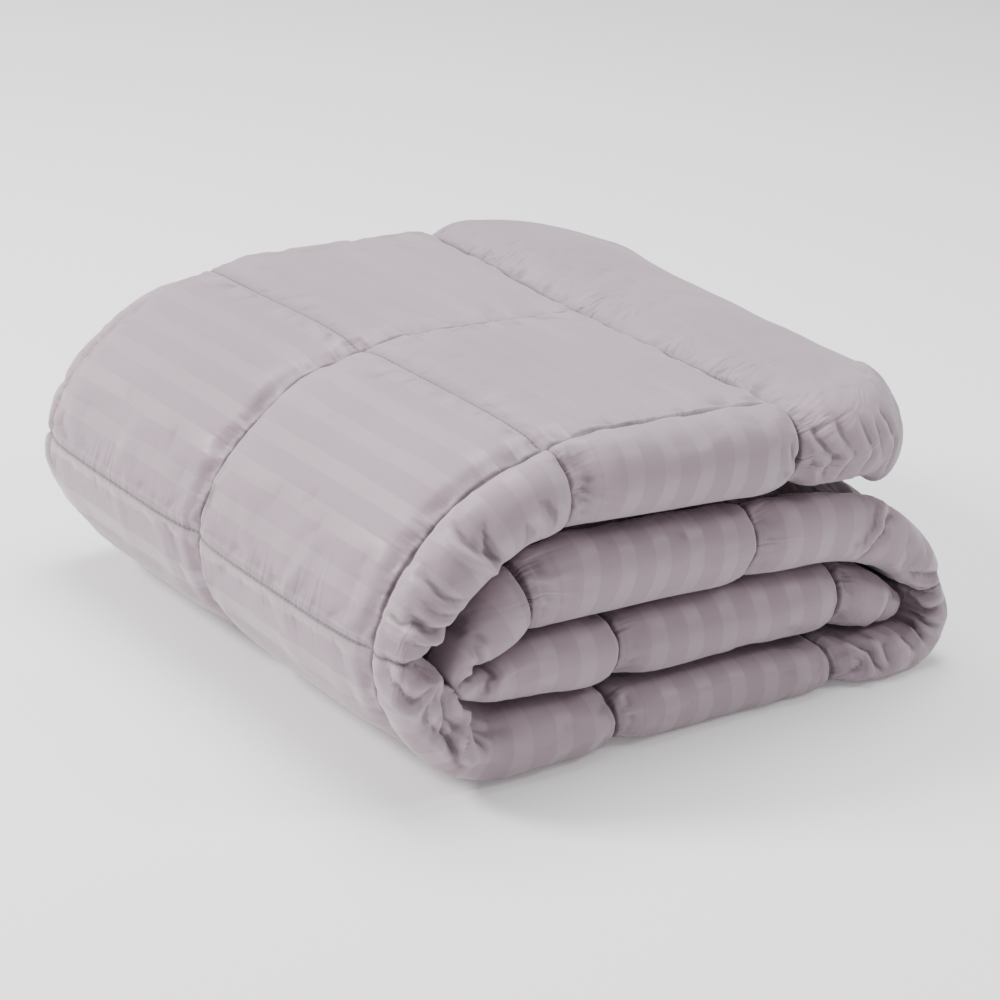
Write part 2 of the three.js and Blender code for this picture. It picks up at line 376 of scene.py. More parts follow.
    def place(self, run: np.ndarray, depth: np.ndarray, rings: Rings) -> np.ndarray:
        """Points of the surface in the part's own frame, in mm.

        Args:
            run: lengths round the cloth, one row for each loop.
            depth: how far each point is drawn in.
            rings: the loops.

        Returns:
            An array of points, three numbers each.
        """
        y, off, ny, n_off = self.around(run, rings)
        rise = rings.rise[:, None] * smoothstep(y, 20.0, 220.0)
        off = off - n_off * depth + np.maximum(0.0, n_off) * rise
        across = (y - ny * depth) * (1.0 + rings.widen[:, None] * (1.0 - n_off) / 2)
        x = rings.centre[:, :1] + rings.out[:, :1] * off - self.middle_x
        z = np.maximum(0.0, rings.centre[:, 1:] + rings.out[:, 1:] * off)
        return np.stack([x, across, z], axis=2)

    def loft(self, away: np.ndarray, rise: float) -> np.ndarray:
        """Height of the filling beside a stitched line, from 0 on it to 1 where it is full.

        Args:
            away: distances from the line.
            rise: distance over which the filling rises.

        Returns:
            One share for each distance.
        """
        share = np.clip(1.0 - np.abs(away) / rise, 0.0, 1.0)
        return (1.0 - share * share) ** 0.6


@dataclass
class Quilting:
    """Relief of the stitched cloth: channels, gathers beside the stitching, hollows and creases, in mm."""

    shape: FoldShape
    notch_depth: float = 4.2
    notch_width: float = 2.8
    gather_depth: float = 2.6
    gather_reach: float = 13.0
    sway: float = 1.3
    fold_pull: float = 0.7
    hollow: float = 3.6
    hollow_at: float = 15.0
    hollow_reach: float = 13.0
    far_slope: float = 2.2
    slope_at: float = 9.0
    slope_reach: float = 7.5
    near_stretch: float = 1.45
    far_stretch: float = 0.85
    border_depth: float = 2.3
    border_reach: float = 48.0
    border_lean: float = 0.38
    dents: tuple[Dent, ...] = DENTS
    creases: tuple[Crease, ...] = CREASES

    def nearest(self, lines: np.ndarray, at: np.ndarray) -> tuple[np.ndarray, np.ndarray]:
        """Signed distance to the nearest of several lines, and which line it is.

        Args:
            lines: places of the lines, in the last axis.
            at: places to measure from.

        Returns:
            Signed distances and the lines' numbers.
        """
        signed = at[..., None] - lines
        which = np.abs(signed).argmin(axis=-1)
        return np.take_along_axis(signed, which[..., None], axis=-1)[..., 0], which

    def seams(self, run: np.ndarray, rings: Rings) -> tuple[np.ndarray, ...]:
        """Distances to the nearest seam along the fold and across it.

        Args:
            run: lengths round the cloth, one row for each loop.
            rings: the loops.

        Returns:
            Signed distance and number of the seam along the fold, then of the seam across it.
        """
        along = np.broadcast_to(rings.distance[:, None], run.shape)
        lines = np.concatenate([rings.seams, rings.total[:, None]], axis=1)[:, None, :]
        long_away, long_line = self.nearest(lines, run)
        long_line = np.where(long_line == 5, 0, long_line)
        return (long_away, long_line, *self.nearest(np.array(CROSS_SEAMS, float), along))

    def closed(self, run: np.ndarray, rings: Rings, read: Callable[[np.ndarray], np.ndarray]) -> np.ndarray:
        """A random relief round the cloth that meets itself where the loop closes.

        Args:
            run: lengths round the cloth, one row for each loop.
            rings: the loops.
            read: gives the relief at lengths round the cloth.

        Returns:
            One value for each place.
        """
        total, start = rings.total[:, None], rings.seams[:, :1]
        share = smoothstep(run, total - 40.0, total)
        return read(run) * (1 - share) + read(run - total + start) * share

    def gathers(self, along: np.ndarray, away: np.ndarray, line: np.ndarray, seed: int) -> np.ndarray:
        """Small gathers across a stitched line, deepest just beside it on its far side.

        Args:
            along: lengths along the line.
            away: distances from it, above 0 on its far side.
            line: the line's number.
            seed: chooses the gathers.

        Returns:
            Depth at each place.
        """
        side = np.where(away < 0, 17.0, 0.0)
        lean = 0.5 * smooth_noise(along + 300 * line + 900 * side, 60.0, seed + 1)
        moved = along + lean * np.abs(away) + 611.0 * line + 97.0 * side
        wave = 0.6 * smooth_noise(moved, 9.0, seed) + 0.5 * smooth_noise(moved, 16.0, seed + 2)
        swell = np.clip(0.55 + 0.8 * smooth_noise(along + 431 * line + 50 * side, 70.0, seed + 3), 0.1, 1.4)
        fade = (1.0 - np.exp(-np.abs(away) / 2.5)) * np.exp(-np.abs(away) / self.gather_reach)
        return self.gather_depth * wave * swell * fade * np.where(away < 0, 0.45, 1.0)

    def depth(self, run: np.ndarray, rings: Rings) -> np.ndarray:
        """How far every point of the surface is drawn in.

        Args:
            run: lengths round the cloth, one row for each loop.
            rings: the loops.

        Returns:
            One depth for each point.
        """
        shape = self.shape
        along = np.broadcast_to(rings.distance[:, None], run.shape)
        long_away, long_line, cross_away, cross_line = self.seams(run, rings)
        cross_away = cross_away * np.array(FAR_SIDE)[cross_line]
        fade = smoothstep(along, CROSS_SEAMS[0] - 4, CROSS_SEAMS[0]) * (
            1 - smoothstep(along, CROSS_SEAMS[-1], CROSS_SEAMS[-1] + 4))
        near_long, near_cross = (
            np.abs(away) * np.where(away < 0, self.near_stretch, self.far_stretch)
            for away in (long_away, cross_away))
        long_loft = np.where(fade > 0, shape.loft(near_long, shape.long_rise), 1.0)
        cross_loft = shape.loft(near_cross, shape.cross_rise)
        below = rings.total[:, None] - run
        behind = run - rings.outer_end[:, None]
        over = (smoothstep(below, 6, 34) * (1 - smoothstep(below, 84, 120))
                + smoothstep(behind, 0, 34) * (1 - smoothstep(behind, 84, 120)))
        long_pull = np.interp(along, [row[0] for row in LONG_PULL], [row[1] for row in LONG_PULL])
        cross_pull = np.array(CROSS_PULL)[cross_line]
        cross_pull = (cross_pull + (1 + self.fold_pull - cross_pull) * np.clip(over, 0, 1)) * (
            0.5 + 0.5 * long_loft)
        drawn = (shape.long_depth * (1 - long_loft) * long_pull
                 + shape.cross_depth * (1 - cross_loft) * cross_pull)
        sunk = np.exp(-(((cross_away - self.hollow_at) / self.hollow_reach) ** 2))
        drawn = drawn + self.hollow * np.clip(over + (cross_line == 0) * 0.8, 0, 1) * sunk
        slope = np.exp(-(((long_away - self.slope_at) / self.slope_reach) ** 2))
        drawn = drawn + self.far_slope * long_pull * fade * slope
        drawn = drawn * np.clip(rings.half[:, None] / shape.full_half, 0.15, 1.1)
        full = np.clip(rings.half[:, None] / shape.full_half, 0.3, 1.0)
        stitched = np.exp(-near_long / self.notch_width) * fade * np.clip(long_pull, 0.75, 1.1)
        crisp = np.where(cross_line == 0, 1.5, np.clip(cross_pull, 0.5, 1.1))
        stitched = np.maximum(stitched, np.exp(-near_cross / self.notch_width) * crisp)
        gathered = self.gathers(along, long_away, long_line, 11) * fade * long_pull
        gathered = gathered + np.where(cross_line == 0, 0.8, cross_pull) * self.closed(
            run, rings, lambda at: self.gathers(at, cross_away, cross_line, 37))
        sway = self.closed(run, rings, lambda at: smooth_field(along, at, 95.0, 5))
        sway = self.sway * sway * np.minimum(long_loft, cross_loft)
        relief = (self.notch_depth * stitched + gathered + sway) * full
        return drawn + relief + self.border(along, run, rings) + self.folds(along, run, rings)

    def border(self, along: np.ndarray, run: np.ndarray, rings: Rings) -> np.ndarray:
        """Depth of the long slanting wrinkles that the first seam sends across the open border.

        Args:
            along: places along the fold.
            run: lengths round the cloth.
            rings: the loops.

        Returns:
            One depth for each point.
        """
        past = CROSS_SEAMS[0] - along
        fade = smoothstep(past, 1.0, 9.0) * np.exp(-np.maximum(past, 0.0) / self.border_reach)
        fade = fade * smoothstep(run - rings.seams[:, :1], 0.0, 30.0)
        fade = fade * (1 - smoothstep(run, rings.outer_end[:, None], rings.inner_start[:, None]))
        slid = run - self.border_lean * past - 0.0012 * past**2
        wave = 0.5 * smooth_noise(slid, 16.0, 71) + 0.7 * smooth_noise(slid, 27.0, 72)
        swell = np.clip(0.6 + 0.7 * smooth_noise(slid, 60.0, 73), 0.15, 1.2)
        return self.border_depth * wave * swell * fade

    def folds(self, along: np.ndarray, run: np.ndarray, rings: Rings) -> np.ndarray:
        """Depth of the hollows and creases over the front fold.

        Args:
            along: places along the fold.
            run: lengths round the cloth.
            rings: the loops.

        Returns:
            One depth for each point.
        """
        below = rings.total[:, None] - run
        depth = np.zeros_like(run)
        for dent in self.dents:
            a, b = (along - dent.along) / dent.reach_along, (below - dent.below) / dent.reach_below
            depth += dent.depth * np.exp(-(a**2 + b**2))
        for crease in self.creases:
            a = np.array([crease.along_a, crease.below_a])
            line = np.array([crease.along_b, crease.below_b]) - a
            span = float(np.hypot(*line))
            unit = line / span
            share = (along - a[0]) * unit[0] + (below - a[1]) * unit[1]
            across = (along - a[0]) * unit[1] - (below - a[1]) * unit[0]
            bow = 0.12 * span * np.sin(np.pi * np.clip(share / span, 0, 1))
            across = (across - bow) / crease.width
            taper = smoothstep(share, -0.15 * span, 0.3 * span)
            taper = taper * (1 - smoothstep(share, 0.6 * span, 1.12 * span))
            valley = np.exp(-np.abs(across) ** 1.3) - 0.45 * np.exp(-((across - 1.9) / 0.9) ** 2)
            depth += crease.depth * taper * valley
        return depth * smoothstep(below, 0.0, 12.0)


@dataclass
class Comforter:
    """The folded comforter's cloth as one closed mesh."""

    shape: FoldShape
    quilting: Quilting
    fine_step: float = 1.9
    plain_step: float = 7.8
    close_step: float = 3.1
    fine_reach: float = 34.0
    fine_margin: float = 3.0
    mouth_taper: float = 75.0
    mouth_depth: float = 0.45

    def steps(self, low: float, high: float, fine_low: bool = True, fine_high: bool = True,
              close: tuple[tuple[int, int], ...] = ()) -> np.ndarray:
        """Shares between two lines, closer together beside the lines that are stitched.

        Args:
            low: first line, in mm.
            high: second line, in mm.
            fine_low: whether the first line is stitched.
            fine_high: whether the second line is stitched.
            close: stretches that carry creases.

        Returns:
            Shares from 0 up to, but not with, 1.
        """
        grid = np.linspace(low, high, 400)
        near = np.full_like(grid, 1e9)
        if fine_low:
            near = np.minimum(near, grid - low)
        if fine_high:
            near = np.minimum(near, high - grid)
        step = self.fine_step + (self.plain_step - self.fine_step) * smoothstep(
            near, self.fine_margin, self.fine_reach)
        for start, end in close:
            step = np.where((grid > start) & (grid < end), np.minimum(step, self.close_step), step)
        density = np.concatenate([[0.0], np.cumsum(np.diff(grid) / step[:-1])])
        count = max(2, int(round(density[-1])))
        places = np.interp(np.linspace(0.0, density[-1], count + 1), density, grid)
        return (places[:-1] - low) / (high - low)

    def layout(self) -> tuple[Rings, np.ndarray]:
        """Places of the mesh's loops and of the points round each of them."""
        length = self.shape.length()
        marks = [0.0, *CROSS_SEAMS, length]
        body = [a + self.steps(a, b, a > 0, b < length, CLOSE_STRETCHES) * (b - a)
                for a, b in zip(marks, marks[1:])]
        distance = np.concatenate([*body, [length]])
        turn = np.linspace(1.0, 0.04, 22)
        lip_thin = np.maximum(0.035, 0.5 + 0.5 * np.cos(np.pi * turn))
        inside = np.maximum(0.0, turn - 0.5) * 2
        dip = np.where(inside > 0, self.mouth_depth, 1.0)
        lip_past = -self.shape.open_round * (1 - dip * (1 - np.sin(np.pi * turn) ** 0.8))
        tuck = np.linspace(0.12, 0.985, 8)
        past = np.concatenate([lip_past, np.zeros_like(distance), self.shape.tucked_round * tuck])
        thin = np.concatenate([lip_thin, np.ones_like(distance), np.sqrt(1 - tuck**2)])
        shift = np.concatenate([-self.shape.lower_lip * (1 - lip_thin) * smoothstep(turn, 0.1, 0.9),
                                np.zeros(len(distance) + len(tuck))])
        places = np.concatenate([np.zeros_like(turn), distance, np.full_like(tuck, length)])
        edge = past.copy()
        edge[:len(turn)] = np.where(inside > 0, -self.shape.open_round - self.mouth_taper * inside, lip_past)
        rings = self.shape.rings(places, past, thin, shift, edge)
        box = self.steps(0.0, self.shape.box)
        s, e = rings.seams, rings.inner_end
        spans = [
            (s[:, 0], s[:, 1], box),
            (s[:, 1], s[:, 2], box),
            (s[:, 2], rings.inner_start, np.arange(12) / 12),
            (rings.inner_start, s[:, 3], self.steps(0.0, 120.0, False, True)[::3]),
            (s[:, 3], s[:, 4], self.steps(0.0, 250.0)[::3]),
            (s[:, 4], e, self.steps(0.0, 120.0, True, False)[::3]),
            (e, rings.total, np.arange(32) / 32),
        ]
        runs = [a[:, None] + (b - a)[:, None] * share for a, b, share in spans]
        return rings, np.concatenate([*runs, rings.total[:, None]], axis=1)

    def cloth_length(self, distance: np.ndarray) -> np.ndarray:
        """Length of woven cloth up to a place, with every box as long as the next.

        Args:
            distance: places along the centre line.

        Returns:
            Lengths of cloth in mm.
        """
        first, last = CROSS_SEAMS[0], CROSS_SEAMS[-1]
        at = np.interp(distance, CROSS_SEAMS, np.arange(len(CROSS_SEAMS)) * self.shape.box)
        return at + np.minimum(0.0, distance - first) + np.maximum(0.0, distance - last)

    def build(self) -> bpy.types.Object:
        """The comforter's object, in the place of its solid."""
        rings, run = self.layout()
        points = self.shape.place(run, self.quilting.depth(run, rings), rings) * MM
        rows, columns = run.shape
        mesh = bpy.data.meshes.new("comforter_cloth")
        bm = bmesh.new()
        bmesh.ops.create_grid(bm, x_segments=rows - 1, y_segments=columns - 1, size=0.5)
        bm.to_mesh(mesh)
        bm.free()
        flat = np.zeros(len(mesh.vertices) * 3)
        mesh.vertices.foreach_get("co", flat)
        flat = flat.reshape(-1, 3)
        i = np.rint((flat[:, 0] + 0.5) * (rows - 1)).astype(int)
        j = np.rint((flat[:, 1] + 0.5) * (columns - 1)).astype(int)
        mesh.vertices.foreach_set("co", points[i, j].ravel())
        corner = np.zeros(len(mesh.loops), dtype=np.int32)
        mesh.loops.foreach_get("vertex_index", corner)
        cloth = self.cloth_length(rings.distance) * MM
        uv = np.stack([cloth[i[corner]], run[i, j][corner] * MM], axis=1)
        layer = mesh.uv_layers.new(name="cloth")
        layer.data.foreach_set("uv", uv.ravel())
        long_away, _, cross_away, line = self.quilting.seams(run, rings)
        banded = (rings.distance < CROSS_SEAMS[0]) | (rings.distance > CROSS_SEAMS[-1])
        long_away[banded] = 200.0
        pull = np.interp(rings.distance, [row[0] for row in LONG_PULL], [row[1] for row in LONG_PULL])
        strength = np.clip(np.array(CROSS_PULL)[line], 0.0, 1.0)
        for name, away, share in (("seam_along", long_away, np.clip(pull, 0.0, 1.0)[:, None]),
                                  ("seam_across", cross_away * np.array(FAR_SIDE)[line], strength)):
            side = (0.5 + 0.5 * np.sign(away)) * share
            keep_values(mesh, name, (np.abs(away) * MM)[i, j])
            keep_values(mesh, name + "_side", side[i, j])
        keep_values(mesh, "fold_at", rings.distance[i])
        keep_values(mesh, "fold_half", rings.half[i])
        keep_values(mesh, "facing", self.shape.around(run, rings)[3][i, j])
        bm = bmesh.new()
        bm.from_mesh(mesh)
        bmesh.ops.remove_doubles(bm, verts=bm.verts, dist=2e-6)
        closed = bmesh.ops.holes_fill(bm, edges=[e for e in bm.edges if e.is_boundary], sides=0)
        bmesh.ops.triangulate(bm, faces=closed["faces"])
        bmesh.ops.recalc_face_normals(bm, faces=bm.faces)
        for face in bm.faces:
            face.smooth = True
        bm.to_mesh(mesh)
        bm.free()
        LOG.info("comforter_cloth: %d faces", len(mesh.polygons))
        return linked("comforter_cloth", mesh)


@dataclass
class Drape:
    """Cloth simulation that puckers the stitched cover: the seams hold, the cloth between them wrinkles."""

    cloth: bpy.types.Object
    frames: int = 11
    spare: float = 0.03
    pressure: float = 0.3
    seam_hold: float = 0.0022
    most: float = 4.2
    snug: float = 0.9
    hollow_scale: float = 1.5
    open_stretches: tuple[tuple[int, int], ...] = ((-1, 760), (1180, 1380))
    end_stretch: float = 150.0
    end_share: float = 0.55
    top_stretch: float = 470.0
    plain_share: float = 0.22
    top_share: float = 0.33
    seam_share: float = 0.78
    seam_reach: float = 16.0
    moves: np.ndarray | None = None
    tree: KDTree | None = None

    def values(self, name: str) -> np.ndarray:
        """One number for each vertex, from an attribute of the cloth."""
        mesh = self.cloth.data
        got = np.zeros(len(mesh.vertices), dtype=np.float32)
        mesh.attributes[name].data.foreach_get("value", got)
        return got

    def places(self, mesh: bpy.types.Mesh, what: str) -> np.ndarray:
        """Coordinates or normals of a mesh's vertices."""
        got = np.zeros(len(mesh.vertices) * 3, dtype=np.float32)
        mesh.vertices.foreach_get(what, got)
        return got.reshape(-1, 3).astype(float)

    def simulate(self, held: np.ndarray) -> np.ndarray:
        """Runs the simulation.

        Args:
            held: whether each vertex stays where it is.

        Returns:
            Where every vertex ends.
        """
        group = self.cloth.vertex_groups.new(name="held")
        group.add([int(k) for k in np.nonzero(held)[0]], 1.0, "REPLACE")
        modifier = self.cloth.modifiers.new("puckers", "CLOTH")
        settings = modifier.settings
        settings.vertex_group_mass = "held"
        settings.quality = 4
        settings.mass = 0.2
        settings.tension_stiffness = 12.0
        settings.compression_stiffness = 12.0
        settings.shear_stiffness = 4.0
        settings.bending_stiffness = 0.2
        settings.shrink_min = -self.spare
        settings.use_pressure = True
        settings.uniform_pressure_force = self.pressure
        settings.effector_weights.gravity = 0.0
        modifier.collision_settings.use_collision = False
        modifier.point_cache.frame_start = 1
        modifier.point_cache.frame_end = self.frames
        for number in range(1, self.frames + 1):
            bpy.context.scene.frame_set(number)
        settled = self.cloth.evaluated_get(bpy.context.evaluated_depsgraph_get())
        ends = self.places(settled.data, "co")
        self.cloth.modifiers.remove(modifier)
        self.cloth.vertex_groups.remove(group)
        bpy.context.scene.frame_set(1)
        return ends

    def even(self, moves: np.ndarray, rounds: int) -> np.ndarray:
        """Moves averaged with their neighbours' over and over.

        Args:
            moves: one row of numbers for each vertex.
            rounds: how often they are averaged.

        Returns:
            The smooth part of the moves.
        """
        mesh = self.cloth.data
        edges = np.zeros(len(mesh.edges) * 2, dtype=np.int32)
        mesh.edges.foreach_get("vertices", edges)
        a, b = edges.reshape(-1, 2).T
        count = len(moves)
        shared = np.maximum(np.bincount(edges, minlength=count), 1)[:, None]
        for _ in range(rounds):
            total = np.stack([
                np.bincount(a, weights=moves[b, k], minlength=count)
                + np.bincount(b, weights=moves[a, k], minlength=count)
                for k in range(moves.shape[1])
            ], axis=1)
            moves = 0.5 * moves + 0.5 * total / shared
        return moves

    def room(self) -> tuple[np.ndarray, np.ndarray]:
        """How far each vertex may move out and in, in mm, so that no two layers meet."""
        at, half, facing = self.values("fold_at"), self.values("fold_half"), self.values("facing")
        flat = smoothstep(np.abs(facing), 0.5, 0.85)
        free = (facing > 0) & np.logical_or.reduce([(at > a) & (at < b) for a, b in self.open_stretches])
        out = self.most + (np.where(free, self.most, self.snug) - self.most) * flat
        gap = np.minimum(self.values("seam_along"), self.values("seam_across")) / MM
        folded = sum(smoothstep(at, a - 20, a + 20) * (1 - smoothstep(at, b - 20, b + 20))
                     for a, b in CLOSE_STRETCHES[1:])
        ended = self.end_share * (at < self.end_stretch) * (1.0 - flat)
        folded = np.maximum(folded * (1.0 - 0.6 * flat), ended)
        crisp = (facing > 0.5) & (at < self.top_stretch)
        beside = np.where(crisp, self.top_share, self.seam_share) * np.exp(-gap / self.seam_reach)
        calm = np.maximum(folded, self.plain_share + beside)
        inward = np.minimum(self.most, 0.3 * half)
        return out * calm, inward * calm

    def settle(self) -> None:
        """Adds the wrinkles of the simulated cover to the mesh."""
        mesh = self.cloth.data
        rest, normal = self.places(mesh, "co"), self.places(mesh, "normal")
        gap = np.minimum(self.values("seam_along"), self.values("seam_across"))
        self.moves = np.zeros_like(rest)
        moved = self.simulate((gap < self.seam_hold) | (rest[:, 2] < 2 * MM)) - rest
        wrinkles = moved - self.even(moved, 60)
        rise = (wrinkles * normal).sum(axis=1)
        slide = wrinkles - rise[:, None] * normal
        out, inward = self.room()
        rise = np.clip(rise, -inward * MM, out * MM)
        reach = np.maximum(np.linalg.norm(slide, axis=1), 1e-9)
        slide = slide * np.minimum(1.0, 0.5 * np.minimum(out, inward) * MM / reach)[:, None]
        ends = rest + self.even(rise[:, None] * normal + slide, 1)
        ends[:, 2] = np.maximum(ends[:, 2], 0.0)
        self.moves = ends - rest
        mesh.vertices.foreach_set("co", ends.ravel())
        mesh.update()
        self.keep_hollows()
        self.tree = KDTree(len(rest))
        for k in np.nonzero(gap < self.seam_hold)[0]:
            self.tree.insert(rest[k], int(k))
        self.tree.balance()
        for name in ("fold_at", "fold_half", "facing"):
            mesh.attributes.remove(mesh.attributes[name])

    def keep_hollows(self) -> None:
        """Stores how hollow the cloth is at each vertex, from -1 on a ridge to 1 in a crease; the cloth's
        material paints shade into the creases and light onto the ridges from it.
        """
        mesh = self.cloth.data
        here, normal = self.places(mesh, "co"), self.places(mesh, "normal")
        sunk = ((self.even(here, 5) - here) * normal).sum(axis=1)[:, None] / MM
        sunk = (sunk - self.even(sunk, 60))[:, 0]
        keep_values(mesh, "hollow", np.clip(sunk / self.hollow_scale, -1.0, 1.0))

    def carried(self, points: np.ndarray) -> np.ndarray:
        """Points of the seams moved with the cloth.

        Args:
            points: places before the cloth settled, in mm.

        Returns:
            The places after it, in mm.
        """
        ends = []
        for point in points:
            near = self.tree.find_n(point * MM, 3)
            weights = np.array([1.0 / (distance + 0.2 * MM) for _, _, distance in near])
            shifts = self.moves[[k for _, k, _ in near]]
            ends.append(point + (weights[:, None] * shifts).sum(axis=0) / weights.sum() / MM)
        return np.array(ends)


class Graph:
    """Short hand for adding shader nodes to a tree and joining them."""

    def __init__(self, tree: bpy.types.NodeTree) -> None:
        """Takes the tree to add to."""
        self.tree = tree

    def node(self, kind: str, **settings: object) -> bpy.types.Node:
        """One new node.

        Args:
            kind: the node's type, without its leading ShaderNode.
            settings: properties of the node.

        Returns:
            The node.
        """
        made = self.tree.nodes.new("ShaderNode" + kind)
        for name, value in settings.items():
            setattr(made, name, value)
        return made

    def feed(self, socket: bpy.types.NodeSocket, source: object) -> None:
        """Joins a socket to another one, or sets its number."""
        if isinstance(source, bpy.types.NodeSocket):
            self.tree.links.new(source, socket)
        else:
            socket.default_value = source

    def math(self, operation: str, *sources: object) -> bpy.types.NodeSocket:
        """Result of one sum on sockets or numbers.

        Args:
            operation: the sum's name.
            sources: its sockets or numbers.

        Returns:
            The socket that holds the result.
        """
        made = self.node("Math", operation=operation)
        for socket, source in zip(made.inputs, sources):
            self.feed(socket, source)
        return made.outputs[0]

    def ramp(self, value: object, low: float, high: float, to_low: float = 0.0, to_high: float = 1.0,
             smooth: bool = True) -> bpy.types.NodeSocket:
        """Value moved from one range to another.

        Args:
            value: socket or number.
            low: start of its range.
            high: end of its range.
            to_low: start of the new range.
            to_high: end of the new range.
            smooth: whether the step is soft.

        Returns:
            The socket that holds the result.
        """
        made = self.node("MapRange", interpolation_type="SMOOTHSTEP" if smooth else "LINEAR")
        for name, source in zip(("Value", "From Min", "From Max", "To Min", "To Max"),
                                (value, low, high, to_low, to_high)):
            self.feed(made.inputs[name], source)
        return made.outputs["Result"]

    def noise(self, x: object, y: object, scale: float, detail: float = 1.0) -> bpy.types.NodeSocket:
        """Random value over two coordinates.

        Args:
            x: first coordinate.
            y: second coordinate.
            scale: how many lumps go in a unit of length.
            detail: how many finer layers it has.

        Returns:
            The socket that holds the value.
        """
        place = self.node("CombineXYZ")
        self.feed(place.inputs["X"], x)
        self.feed(place.inputs["Y"], y)
        made = self.node("TexNoise", noise_dimensions="2D")
        self.feed(made.inputs["Vector"], place.outputs["Vector"])
        made.inputs["Scale"].default_value = scale
        made.inputs["Detail"].default_value = detail
        return made.outputs[0]

    def blend(self, share: object, a: object, b: object) -> bpy.types.NodeSocket:
        """Colour between two colours.

        Args:
            share: how much of the second one.
            a: first colour.
            b: second colour.

        Returns:
            The socket that holds the colour.
        """
        made = self.node("Mix", data_type="RGBA")
        self.feed(made.inputs["Factor"], share)
        self.feed(made.inputs["A"], a)
        self.feed(made.inputs["B"], b)
        return made.outputs["Result"]


